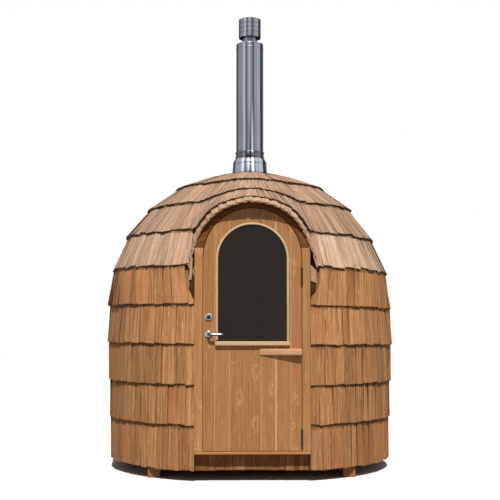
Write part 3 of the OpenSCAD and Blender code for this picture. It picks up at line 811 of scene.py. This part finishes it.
# Boards side by side round the hood: front and back are plan radii. The edge of each
# board nearer the ridge dips inwards and laps under the board above it, as a tooth.
def hoodRow(bm, row, spots, chance):
    radius = row["radius"]
    half = radius * math.pi / 2 + row["tail"]
    place = -half
    while place < half - 1e-5:
        span = chance.uniform(*row["widths"])
        if half - place - span < board["narrowest"] * row["widths"][0]:
            span = half - place
        gap = board["gap"] / 2
        out = hoodOutward(radius, place + span / 2)
        leftSide = place + span / 2 < 0
        isRidge = place < 0 < place + span
        reach = row["front"] - chance.uniform(0, row["stagger"])
        lap = 0.0 if isRidge else row["lap"]
        ends = [(place + gap - (0.0 if leftSide else lap), not leftSide and not isRidge),
                (place + span - gap + (lap if leftSide else 0.0), leftSide and not isRidge)]
        corners = []
        for spot, isUpper in ends:
            x, rise = hoodOutline(radius, spot)
            dip = row["droop"] + (row["dip"] * chance.uniform(0.75, 1.05) if isUpper else 0.0)
            corners.append(hoodPoint(x, rise, reach) - hoodOutward(radius, spot) * dip)
        for spot, isUpper in reversed(ends):
            x, rise = hoodOutline(radius, spot, hood["bulge"] if row["dip"] else 0.0)
            back = min(hoodBack(x, rise, row), reach - hood["shortest"])
            dip = row["dip"] if isUpper else 0.0
            corners.append(hoodPoint(x, rise, back) - hoodOutward(radius, spot) * dip)
        layBoard(bm, corners, out, row["thick"], row["thick"] * 0.7, chance)
        place += span
    for corners in spots:
        placed = [ringPoint(row["hangingRadius"], z, math.asin(x / row["hangingRadius"]))
                  for x, z in corners]
        layBoard(bm, placed, Vector((0, -1, 0)), hanging["thick"], hanging["thick"] * 0.8, chance)
    return bm


chance = random.Random(77)
finishPiece("hoodRim", hoodRow(bmesh.new(), rimRow, hanging["rim"], chance),
            "hoodShingle", replaces=("hood_shingles",))
finishPiece("hoodDeck", hoodRow(bmesh.new(), deckRow, hanging["deck"], chance),
            "shadedDeckWood", replaces=("hood_deck",))
print("hood laid")


# Door frame, threshold and skirt

chance = random.Random(5)
frameParts = dict(jambs=dict(jamb_left=-1, jamb_right=1), edge=0.003, joint=1.625,
                  stopEdge=0.0015, thresholdEdge=0.004)
jambTop = max(v.co.z for v in nodes["jamb_left"].data.vertices)
acrossX, acrossY = (1, 0, 0), (0, 1, 0)


def offJoint(edge):
    return any(abs(v.co.z - jambTop) > 0.001 for v in edge.verts)


# A copy of one CAD node with rounded edges, and its grain laid
def woodPiece(name, node, look, along, edge, segments=2, body="house", smooth=35):
    bm = copyOf(node)
    roundEdges(bm, edge, segments)
    finishPiece(name, layGrain(bm, along, chance), look, body, (node,), smooth)


bm = bmesh.new()
for name, side in frameParts["jambs"].items():
    foot = trimmed(copyOf("arch_head"), (0, 0, frameParts["joint"]), up)
    foot = trimmed(foot, (0, 0, 0), (-side, 0, 0))
    post = copyOf(name)
    for part in (foot, post):
        roundEdges(part, frameParts["edge"], test=offJoint)
    pour(post, foot)
    pour(bm, layGrain(post, up, chance))
finishPiece("jambs", bm, "frameWood", smooth=35, replaces=("jamb_left", "jamb_right"))
# the arch head above the joint takes the darkened wood, as painted shade under the hood
bm = trimmed(copyOf("arch_head"), (0, 0, frameParts["joint"]), (0, 0, -1))
roundEdges(bm, frameParts["edge"])
finishPiece("archHead", layGrain(bm, acrossX, chance), "shadedHeadWood", smooth=35,
            replaces=("arch_head",))
woodPiece("doorStop", "door_stop", "frameWood", up, frameParts["stopEdge"])
woodPiece("thresholdBoard", "threshold", "frameWood", acrossX,
          frameParts["thresholdEdge"], 3)

skirt = dict(widths=(0.05, 0.1), least=0.03, gap=0.0015, foot=0.007, slant=0.04, uneven=0.005,
             edge=0.0015)
low, high = boxOf("skirt")
bm = bmesh.new()
place = low.x
while place < high.x - 1e-4:
    span = chance.uniform(*skirt["widths"])
    if high.x - place - span < skirt["least"]:
        span = high.x - place
    part = copyOf("skirt")
    trimmed(part, (place + skirt["gap"], 0, 0), (-1, 0, 0))
    trimmed(part, (place + span - skirt["gap"], 0, 0), (1, 0, 0))
    foot = low.z + chance.uniform(0, skirt["foot"])
    trimmed(part, (0, 0, foot), (chance.uniform(-skirt["slant"], skirt["slant"]), 0, -1))
    trimmed(part, (0, low.y + chance.uniform(0, skirt["uneven"]), 0), (0, -1, 0))
    roundEdges(part, skirt["edge"], 1)
    pour(bm, layGrain(part, up, chance))
    place += span
finishPiece("skirtBoards", bm, "skirtWood", replaces=("skirt",))
print("door frame built")


# The door

door = dict(firstSeam=-0.2645, pitch=0.1071, groove=0.0042, gap=0.0009, beadEdge=0.003,
            battenEdge=0.0025, innerEdge=0.002)
seams = [doorLow[0]] + [door["firstSeam"] + door["pitch"] * k for k in range(6)] + [doorHigh[0]]


def isSeam(edge):        # the long upright edges on either face
    a, b = (v.co for v in edge.verts)
    return abs(a.x - b.x) < 1e-5 and abs(a.y - b.y) < 1e-5 and abs(a.z - b.z) > 0.02 \
        and min(abs(a.x - s) for s in seams) < 0.002


def isGroove(face):
    return 0.3 < abs(face.normal.x) < 0.9 and abs(face.normal.z) < 0.1


bm = bmesh.new()
for left, right in zip(seams, seams[1:]):
    part = copyOf("door_leaf")
    if left > doorLow[0]:
        trimmed(part, (left + door["gap"], 0, 0), (-1, 0, 0))
    if right < doorHigh[0]:
        trimmed(part, (right - door["gap"], 0, 0), (1, 0, 0))
    roundEdges(part, door["groove"], 1, test=isSeam)
    pour(bm, layGrain(part, up, chance, isGroove))
finishPiece("doorBoards", bm, "doorBoard", "door", ("door_leaf",))
for name, node, look, along, edge, segments, smooth in (
        ("windowBead", "window_trim", "paleTrim", up, door["beadEdge"], 3, 40),
        ("windowLedge", "window_ledge", "paleTrim", acrossX, door["beadEdge"], 2, 40),
        ("wedgeBatten", "door_batten", "battenWood", acrossX, door["battenEdge"], 2, 40),
        ("innerBead", "glazing_bead", "paleTrim", up, door["innerEdge"], 1, None)):
    woodPiece(name, node, look, along, edge, segments, "door", smooth)
dress("door_glass", "darkGlass")
print("door built")


# Lock and lever: a disc is its radius, its thickness and how far its edge is rounded

lock = dict(steps=64, ringSteps=48, case=(0.0265, 0.008, 0.004),
            plug=(0.0135, 0.0098, 0.0012), plugShade=(0.0137, 0.2), barrel=0.0118,
            slot=(0.0022, 0.0003, 0.0125), slotEdge=0.0001,
            ring=((0.0136, 0.007), (0.0158, 0.007), (0.0158, 0.0083), (0.0136, 0.0083)))
rose = ((0.0095, 0), (0.026, 0), (0.026, 0.002), (0.0252, 0.0048), (0.0235, 0.0066),
        (0.021, 0.0076), (0.018, 0.008), (0.0095, 0.008))
pivot, keyway = ((low + high) / 2 for low, high in (boxOf("handle_roses"), boxOf("lock_cylinder")))
doorFaces = ((doorFaceY, -1), (doorHigh[1], 1))


def disc(radius, thick, rim, centre, out):        # a round plate with a soft edge
    profile = [(0, 0), (radius, 0), (radius, thick * 0.25)]
    for turn in range(1, 7):
        angle = math.pi / 2 * turn / 6
        profile.append((radius - rim + rim * math.cos(angle),
                        thick * 0.25 + (thick * 0.75) * math.sin(angle)))
    return lathe(profile + [(0, thick)], lock["steps"], (0, out, 0), centre)


def lockPaintedShade(place):        # painted reflection: an evenly darker plug, in a case that brightens upwards
    off = place - Vector((keyway.x, place.y, keyway.z))
    reach, plain = lock["plugShade"]
    return plain if off.length < reach else -0.1 - 2.5 * (0.5 * off.x + off.z)


def rosePaintedShade(place):        # painted shade, darker to the right and below
    return 7.0 * (place.x - pivot.x - place.z + pivot.z)


def leverPaintedShade(place):        # painted shade on the neck
    return 0.34 * (1 - eased((place.x - pivot.x) / 0.034))


bm = bmesh.new()
for faceY, out in doorFaces:
    for size in (lock["case"], lock["plug"]):
        pour(bm, disc(*size, Vector((keyway.x, faceY, keyway.z)), out))
through = doorHigh[1] - doorFaceY
pour(bm, lathe([(0, 0), (lock["barrel"], 0), (lock["barrel"], through), (0, through)],
               lock["ringSteps"], acrossY, Vector((keyway.x, doorFaceY, keyway.z))))
finishPiece("lockCase", layGleam(bm, lockPaintedShade), "polished", "door",
            ("lock_cylinder",), smooth=35)
bm = bmesh.new()
for faceY, out in doorFaces:        # the keyhole's black slot is painted shade of the hole, and inside it is the thumb turn's bar; the black rings are painted shade of a groove round the plug
    slot = Vector((keyway.x, faceY + out * lock["plug"][1], keyway.z))
    pour(bm, block(lock["slot"], Matrix.Translation(slot), lock["slotEdge"], 1))
    pour(bm, lathe(lock["ring"], lock["ringSteps"], (0, out, 0),
                   Vector((keyway.x, faceY, keyway.z))))
finishPiece("keyhole", bm, "blackIron", "door")

bm = bmesh.new()
for faceY, out in doorFaces:
    pour(bm, lathe(rose, lock["steps"], (0, out, 0), Vector((pivot.x, faceY, pivot.z))))
finishPiece("leverRoses", layGleam(bm, rosePaintedShade), "polished", "door",
            ("handle_roses",), smooth=35)

lever = dict(radius=0.0088, off=0.045, length=0.103, bend=0.016, neck=(0.0006, 0.012, 0.022),
             grip=((0.25, 1.0), (0.5, 1.0), (0.75, 1.0), (0.93, 0.86), (0.985, 0.55)),
             taper=0.08, bow=0.001)
bm = bmesh.new()
for faceY, out in doorFaces:
    base = Vector((pivot.x, faceY, pivot.z))
    size, bend = lever["radius"], lever["bend"]
    elbow = lever["off"] - bend
    stations = [(base + Vector((0, out * depth, 0)), (0, out, 0), (size, size), (1, 0, 0))
                for depth in (*lever["neck"], elbow)]
    for turn in range(1, 7):
        angle = math.pi / 2 * turn / 6
        centre = base + Vector((bend * (1 - math.cos(angle)),
                                out * (elbow + bend * math.sin(angle)), 0))
        stations.append((centre, (math.sin(angle), out * math.cos(angle), 0), (size, size),
                         (math.cos(angle), -out * math.sin(angle), 0)))
    for share, fullness in lever["grip"]:
        x = bend + (lever["length"] - bend) * share
        y = out * (lever["off"] + lever["bow"] * math.sin(math.pi * share))
        thick = size * (1.0 - lever["taper"] * share) * fullness
        stations.append((base + Vector((x, y, 0)), (1, 0, 0), (thick, thick * 1.05),
                         (0, -out, 0)))
    pour(bm, sweep(stations))
finishPiece("leverHandle", layGleam(bm, leverPaintedShade), "polished", "lever",
            ("handle_lever",), smooth=50)
print("lock and lever built")

for name in ("frame_hinges", "door_hinges"):
    dress(name, "blackIron")


# Flue: outlines are steps in radius and height from the place they belong to

flue = dict(casing=0.109, inner=0.0598, sheet=0.0016, steps=96, seamDrop=0.040, seat=0.1095,
            seam=((0, -0.004), (0.0012, -0.0034), (0.0019, -0.0015), (0.0019, 0.0012),
                  (0.001, 0.003), (0, 0.0036)),
            top=((0, -0.006), (0, -0.0045), (-0.0015, -0.0015), (-0.005, -0.0003), (-0.007, 0)),
            liner=(0.0577, 0.0593))
rainCap = dict(foot=((-0.003, 0), (-0.001, 0.001), (0, 0.004)), grooves=(0.26, 0.5, 0.74),
               groove=((0, -0.004), (-0.0028, -0.0015), (-0.0028, 0.0015), (0, 0.004)),
               top=((0, -0.0045), (0, -0.003), (-0.0012, -0.0012), (-0.005, -0.0004)),
               finFrom=0.0595, finInset=0.003, finRise=0.03, fin=(0.002, 0.04), finEdge=0.0004)
centre = Vector((0, axisY, 0))
casing, sheet, seat = flue["casing"], flue["sheet"], flue["seat"]


def stepped(outline, radius, height):
    return [(radius + out, height + rise) for out, rise in outline]


def spun(profile, foot=0.0):        # an outline turned round the flue's axis
    return lathe(profile, flue["steps"], up, centre + up * foot)


def sizeOf(name):        # a round node's foot, its radius and its height
    low, high = boxOf(name)
    return low.z, (high.x - low.x) / 2, high.z - low.z


def fluePiece(name, bm, node, look="stainless"):
    finishPiece(name, bm, look, replaces=(node,), smooth=30)


foot, top, inner = flueLow[2], flueHigh[2], flue["inner"]
fluePiece("flueCasing", spun(
    [(inner, foot), (casing, foot)] + stepped(flue["seam"], casing, top - flue["seamDrop"])
    + stepped(flue["top"], casing, top)
    + [(inner, top), (inner, top - sheet), (casing - 0.01, top - sheet),
       (casing - sheet, top - 0.01), (casing - sheet, foot + sheet), (inner, foot + sheet)]),
    "flue_casing")

inner, outer = flue["liner"]
low, high = boxOf("flue_liner")
fluePiece("flueLiner", spun([(inner, low.z), (outer, low.z), (outer, high.z), (inner, high.z)]),
          "flue_liner")

foot, radius, h = sizeOf("rain_cap")
profile = stepped(rainCap["foot"], radius, 0)
for ring in rainCap["grooves"]:
    profile += stepped(rainCap["groove"], radius, h * ring)
profile += stepped(rainCap["top"], radius, h)
profile += [(0, h), (0, h - sheet), (radius - 0.010, h - 0.003), (radius - 0.0045, h - 0.010),
            (radius - 0.004, 0.004)]
bm = spun(profile, foot)
reach = radius - rainCap["finInset"] - rainCap["finFrom"]
for turn in range(3):        # the fins that carry the cap
    matrix = Matrix.Translation(centre + up * (foot + rainCap["finRise"])) \
        @ Matrix.Rotation(math.tau * turn / 3, 4, "Z") \
        @ Matrix.Translation((rainCap["finFrom"] + reach / 2, 0, 0))
    pour(bm, block((reach, *rainCap["fin"]), matrix, rainCap["finEdge"], 1))
fluePiece("flueCap", bm, "rain_cap")

foot, radius, h = sizeOf("storm_collar")
fluePiece("stormCollar", spun(
    [(radius - 0.002, 0), (radius - 0.0005, 0.0004), (radius, 0.003), (radius - 0.001, 0.007),
     (radius - 0.003, h * 0.45), (0.1215, h * 0.8), (0.1165, h - 0.003), (0.114, h - 0.0005),
     (0.1112, h), (seat, h), (seat, h - 0.002), (0.1135, h - 0.003), (radius - 0.004, 0.006)],
    foot), "storm_collar", "collarSteel")

foot, radius, h = sizeOf("roof_flashing")
fluePiece("roofFlashing", spun(
    [(radius - 0.0022, 0.0004), (radius - 0.0008, 0.0), (radius, 0.002), (radius - 0.001, 0.010),
     (0.1345, h - 0.006), (0.1325, h - 0.001), (0.1295, h), (seat, h), (seat, h - 0.002),
     (0.129, h - 0.002), (0.1322, h - 0.007), (radius - 0.003, 0.010)],
    foot), "roof_flashing", "collarSteel")

clamp = dict(inner=0.1096, web=0.1125, bead=0.1165, beads=(0.005, 0.008, 0.011), webFrom=0.016,
             edge=0.0012,        # the latch's plate and two lugs: size, then x and y from the front
             latch=(((0.066, 0.009, 0.028), (0, 0.0045)), ((0.022, 0.004, 0.02), (-0.018, 0.001)),
                    ((0.012, 0.012, 0.012), (0.022, 0.006))))
low, high = boxOf("clamp_band")
h = high.z - low.z
start, middle, end = clamp["beads"]
inner, web, bead = clamp["inner"], clamp["web"], clamp["bead"]
bm = spun([(inner, 0), (web, 0), (bead - 0.001, start), (bead, middle), (bead - 0.001, end),
           (web, clamp["webFrom"]), (web, h - clamp["webFrom"]), (bead - 0.001, h - end),
           (bead, h - middle), (bead - 0.001, h - start), (web, h), (inner, h)], low.z)
for size, (x, y) in clamp["latch"]:
    spot = Vector((x, low.y + y, low.z + h / 2))
    pour(bm, block(size, Matrix.Translation(spot), clamp["edge"], 2))
fluePiece("clampBand", bm, "clamp_band", "clampSteel")
print("flue built")


# Floor, walls and what else stays as it is

floorBoards = dict(pitch=0.118, gap=0.001)
low, high = boxOf("floor_deck")
bm = bmesh.new()
place = low.x
while place < high.x - 1e-4:
    part = copyOf("floor_deck")
    trimmed(part, (place + floorBoards["gap"], 0, 0), (-1, 0, 0))
    trimmed(part, (min(place + floorBoards["pitch"], high.x) - floorBoards["gap"], 0, 0), (1, 0, 0))
    if part.faces:
        pour(bm, layGrain(part, acrossY, chance))
    else:
        part.free()
    place += floorBoards["pitch"]
finishPiece("floorBoards", bm, "floorWood", replaces=("floor_deck",))

looks = dict(skids="skidTimber", floor_joists="joistTimber", front_sill="joistTimber")
for name in [f"wall_{k}" for k in range(1, 8)] + ["roof_front", "roof_right", "roof_back",
                                                  "roof_left", "crown_ring"]:
    looks[name] = "wallLining"
for name, look in looks.items():
    dress(name, look)
print("kept solids finished")


# Stage, light and camera

stage = dict(size=60.0, sun=3.95, sunSpread=2.0, sunColour=(1.0, 0.98, 0.95),
             sunAim=(-0.03, 0.61, -0.79), sky=0.19, skyColour=(1.0, 0.96, 0.92),
             floorPale=(1.0, 1.0, 1.0), floorDull=(0.95, 0.97, 1.0), floorUnseen=(0.3, 0.28, 0.26))


def groundFinish():
    finish = Finish("paleGround", Roughness=0.9, Specular_IOR_Level=0.1)
    speck = finish.noise(finish.scaled(finish.spot(), 3.0), 3.0)
    colour = finish.blend(speck, stage["floorDull"], stage["floorPale"])
    colour = finish.blend(finish.seen(), stage["floorUnseen"], colour)
    return finish.wear(Base_Color=colour)


finishes["paleGround"] = groundFinish()
bm = bmesh.new()
bmesh.ops.create_grid(bm, x_segments=2, y_segments=2, size=stage["size"] / 2)
mesh = bpy.data.meshes.new("ground")
bm.to_mesh(mesh)
bm.free()
mesh.materials.append(finishes["paleGround"])
ground = bpy.data.objects.new("ground", mesh)
scene.collection.objects.link(ground)

scene.world = bpy.data.worlds.new("studio")
sky = Shading(scene.world)
soft = sky.node("Background", {}, stage["skyColour"], stage["sky"])
white = sky.node("Background", {}, (1.0, 1.0, 1.0), 1.0)
sky.node("OutputWorld", {}, sky.node("MixShader", {}, sky.seen(), soft, white))

sun = bpy.data.lights.new("sun", "SUN")
sun.energy = stage["sun"]
sun.angle = math.radians(stage["sunSpread"])
sun.color = stage["sunColour"]
sunLamp = bpy.data.objects.new("sun", sun)
sunLamp.rotation_euler = Vector(stage["sunAim"]).to_track_quat("-Z", "Y").to_euler()
scene.collection.objects.link(sunLamp)

view = dict(distance=8.0, height=1.035, aside=1.0, tilt=2.0, lens=72.25, sensor=36.0,
            shift=(0.0004, 0.0953))
cameraData = bpy.data.cameras.new("camera")
cameraData.lens = view["lens"]
cameraData.sensor_width = view["sensor"]
camera = bpy.data.objects.new("camera", cameraData)
camera.location = (-view["distance"] * math.sin(math.radians(view["aside"])),
                   axisY - view["distance"] * math.cos(math.radians(view["aside"])), view["height"])
cameraData.shift_x, cameraData.shift_y = view["shift"]
camera.rotation_euler = (math.radians(90 + view["tilt"]), 0, -math.radians(view["aside"]))
scene.collection.objects.link(camera)
scene.camera = camera
scene.view_settings.view_transform = "Standard"
print("stage set")
